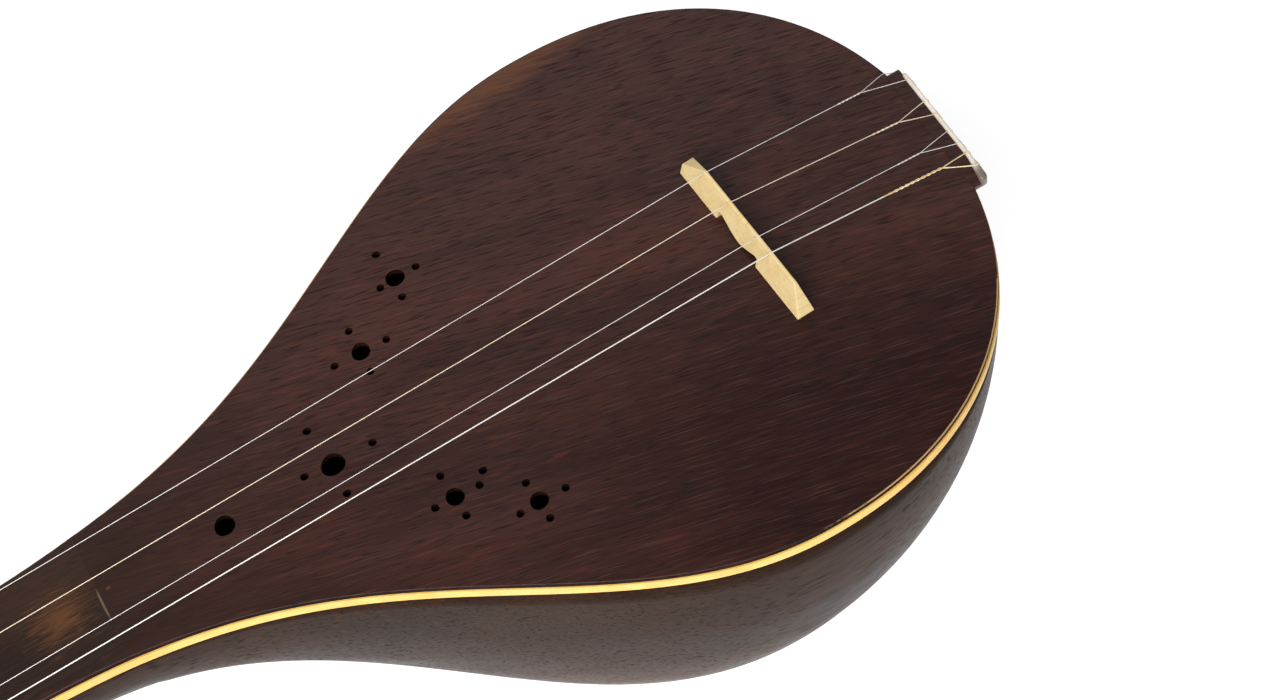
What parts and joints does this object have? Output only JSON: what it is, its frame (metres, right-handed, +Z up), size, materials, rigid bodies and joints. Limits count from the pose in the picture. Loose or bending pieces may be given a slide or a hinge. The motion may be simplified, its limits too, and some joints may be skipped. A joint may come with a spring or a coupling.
{
  "type": "long-necked lute (setar)",
  "caption": "Small long-necked lute: deep pear-shaped bowl, flat dark soundboard with drilled sound holes, tied gut frets, floating bridge and friction pegs.",
  "frame": {"origin": "middle of the instrument's box, on the surface it lies on", "axes": "+X along the neck towards the head, +Y towards the bass side, +Z up; the instrument lies on its back, resting on the bowl and the back of the head"},
  "size_m": [0.8136, 0.1624, 0.158],
  "materials": {
    "binding_wood": "satin pale yellow",
    "bone": "polished bone",
    "bowl_wood": "satin lacquer over dark grey-brown wood",
    "brass_wire": "bright drawn wire",
    "fingerboard_wood": "satin, worn lighter beside the seam",
    "gut": "gut",
    "inner_wood": "bare softwood",
    "neck_wood": "satin",
    "pale_wood": "bare boxwood",
    "peg_wood": "polished dark wood",
    "pin_metal": "dull",
    "soundboard_wood": "satin, fine open grain, dark maroon-brown",
    "steel_wire": "bright drawn wire"
  },
  "bodies": {
    "instrument": {"body_binding": "binding_wood", "bowl": "bowl_wood", "fingerboard": "fingerboard_wood", "neck": "neck_wood", "neck_binding_bass": "binding_wood", "neck_binding_treble": "binding_wood", "nut": "bone", "peg_head": "neck_wood", "soundboard": "soundboard_wood", "soundboard_brace_1": "inner_wood", "soundboard_brace_2": "inner_wood", "string_bass": "brass_wire", "string_brass": "brass_wire", "string_drone": "steel_wire", "string_treble": "steel_wire", "tail_block": "inner_wood", "tailpiece": "peg_wood", "tailpiece_edge": "bone", "tailpiece_pin_1": "pin_metal", "tailpiece_pin_2": "pin_metal", "tailpiece_pin_3": "pin_metal"},
    "bridge": {"bridge": "pale_wood"},
    "peg_treble": {"peg_treble": "peg_wood", "winding_treble": "steel_wire"},
    "peg_brass": {"peg_brass": "peg_wood", "winding_brass": "brass_wire"},
    "peg_drone": {"peg_drone": "peg_wood", "winding_drone": "steel_wire"},
    "peg_bass": {"peg_bass": "peg_wood", "winding_bass": "brass_wire"},
    "fret_01": {"fret_01": "gut"},
    "fret_02": {"fret_02": "gut"},
    "fret_03": {"fret_03": "gut"},
    "fret_04": {"fret_04": "gut"},
    "fret_05": {"fret_05": "gut"},
    "fret_06": {"fret_06": "gut"},
    "fret_07": {"fret_07": "gut"},
    "fret_08": {"fret_08": "gut"},
    "fret_09": {"fret_09": "gut"},
    "fret_10": {"fret_10": "gut"},
    "fret_11": {"fret_11": "gut"},
    "fret_12": {"fret_12": "gut"},
    "fret_13": {"fret_13": "gut"},
    "fret_14": {"fret_14": "gut"},
    "fret_15": {"fret_15": "gut"},
    "fret_16": {"fret_16": "gut"},
    "fret_17": {"fret_17": "gut"},
    "fret_18": {"fret_18": "gut"},
    "fret_19": {"fret_19": "gut"},
    "fret_20": {"fret_20": "gut"},
    "fret_21": {"fret_21": "gut"},
    "fret_22": {"fret_22": "gut"},
    "fret_23": {"fret_23": "gut"},
    "fret_24": {"fret_24": "gut"},
    "fret_25": {"fret_25": "gut"}
  },
  "joints": [
    {"name": "bridge_slide", "type": "slide", "parent": "instrument", "child": "bridge", "axis": [0.9907, 0, -0.1357], "range_m": [-0.004, 0.006], "deforming": ["string_treble", "string_brass", "string_drone", "string_bass"]},
    {"name": "peg_treble_turn", "type": "hinge", "parent": "instrument", "child": "peg_treble", "pos_m": [0.31959, -0.007, 0.03547], "axis": [0.1685, 0, 0.9857], "continuous": true},
    {"name": "peg_brass_turn", "type": "hinge", "parent": "instrument", "child": "peg_brass", "pos_m": [0.36691, -0.001, 0.02739], "axis": [0.1685, 0, 0.9857], "continuous": true},
    {"name": "peg_drone_turn", "type": "hinge", "parent": "instrument", "child": "peg_drone", "pos_m": [0.38669, 0.0134, 0.01254], "axis": [0, 1, 0], "continuous": true},
    {"name": "peg_bass_turn", "type": "hinge", "parent": "instrument", "child": "peg_bass", "pos_m": [0.34135, 0.0134, 0.02029], "axis": [0, 1, 0], "continuous": true},
    {"name": "fret_01_slide", "type": "slide", "parent": "instrument", "child": "fret_01", "axis": [0.9857, 0, -0.1685], "range_m": [-0.002, 0.002]},
    {"name": "fret_02_slide", "type": "slide", "parent": "instrument", "child": "fret_02", "axis": [0.9857, 0, -0.1685], "range_m": [-0.002, 0.002]},
    {"name": "fret_03_slide", "type": "slide", "parent": "instrument", "child": "fret_03", "axis": [0.9857, 0, -0.1685], "range_m": [-0.002, 0.002]},
    {"name": "fret_04_slide", "type": "slide", "parent": "instrument", "child": "fret_04", "axis": [0.9857, 0, -0.1685], "range_m": [-0.002, 0.002]},
    {"name": "fret_05_slide", "type": "slide", "parent": "instrument", "child": "fret_05", "axis": [0.9857, 0, -0.1685], "range_m": [-0.002, 0.002]},
    {"name": "fret_06_slide", "type": "slide", "parent": "instrument", "child": "fret_06", "axis": [0.9857, 0, -0.1685], "range_m": [-0.002, 0.002]},
    {"name": "fret_07_slide", "type": "slide", "parent": "instrument", "child": "fret_07", "axis": [0.9857, 0, -0.1685], "range_m": [-0.002, 0.002]},
    {"name": "fret_08_slide", "type": "slide", "parent": "instrument", "child": "fret_08", "axis": [0.9857, 0, -0.1685], "range_m": [-0.002, 0.002]},
    {"name": "fret_09_slide", "type": "slide", "parent": "instrument", "child": "fret_09", "axis": [0.9857, 0, -0.1685], "range_m": [-0.002, 0.002]},
    {"name": "fret_10_slide", "type": "slide", "parent": "instrument", "child": "fret_10", "axis": [0.9857, 0, -0.1685], "range_m": [-0.002, 0.002]},
    {"name": "fret_11_slide", "type": "slide", "parent": "instrument", "child": "fret_11", "axis": [0.9857, 0, -0.1685], "range_m": [-0.002, 0.002]},
    {"name": "fret_12_slide", "type": "slide", "parent": "instrument", "child": "fret_12", "axis": [0.9857, 0, -0.1685], "range_m": [-0.002, 0.002]},
    {"name": "fret_13_slide", "type": "slide", "parent": "instrument", "child": "fret_13", "axis": [0.9857, 0, -0.1685], "range_m": [-0.002, 0.002]},
    {"name": "fret_14_slide", "type": "slide", "parent": "instrument", "child": "fret_14", "axis": [0.9857, 0, -0.1685], "range_m": [-0.002, 0.002]},
    {"name": "fret_15_slide", "type": "slide", "parent": "instrument", "child": "fret_15", "axis": [0.9857, 0, -0.1685], "range_m": [-0.002, 0.002]},
    {"name": "fret_16_slide", "type": "slide", "parent": "instrument", "child": "fret_16", "axis": [0.9857, 0, -0.1685], "range_m": [-0.002, 0.002]},
    {"name": "fret_17_slide", "type": "slide", "parent": "instrument", "child": "fret_17", "axis": [0.9857, 0, -0.1685], "range_m": [-0.002, 0.002]},
    {"name": "fret_18_slide", "type": "slide", "parent": "instrument", "child": "fret_18", "axis": [0.9857, 0, -0.1685], "range_m": [-0.002, 0.002]},
    {"name": "fret_19_slide", "type": "slide", "parent": "instrument", "child": "fret_19", "axis": [0.9857, 0, -0.1685], "range_m": [-0.002, 0.002]},
    {"name": "fret_20_slide", "type": "slide", "parent": "instrument", "child": "fret_20", "axis": [0.9857, 0, -0.1685], "range_m": [-0.002, 0.002]},
    {"name": "fret_21_slide", "type": "slide", "parent": "instrument", "child": "fret_21", "axis": [0.9857, 0, -0.1685], "range_m": [-0.002, 0.002]},
    {"name": "fret_22_slide", "type": "slide", "parent": "instrument", "child": "fret_22", "axis": [0.9857, 0, -0.1685], "range_m": [-0.002, 0.002]},
    {"name": "fret_23_slide", "type": "slide", "parent": "instrument", "child": "fret_23", "axis": [0.9857, 0, -0.1685], "range_m": [-0.002, 0.002]},
    {"name": "fret_24_slide", "type": "slide", "parent": "instrument", "child": "fret_24", "axis": [0.9857, 0, -0.1685], "range_m": [-0.002, 0.002]},
    {"name": "fret_25_slide", "type": "slide", "parent": "instrument", "child": "fret_25", "axis": [0.9857, 0, -0.1685], "range_m": [-0.0005, 0.002]}
  ]
}
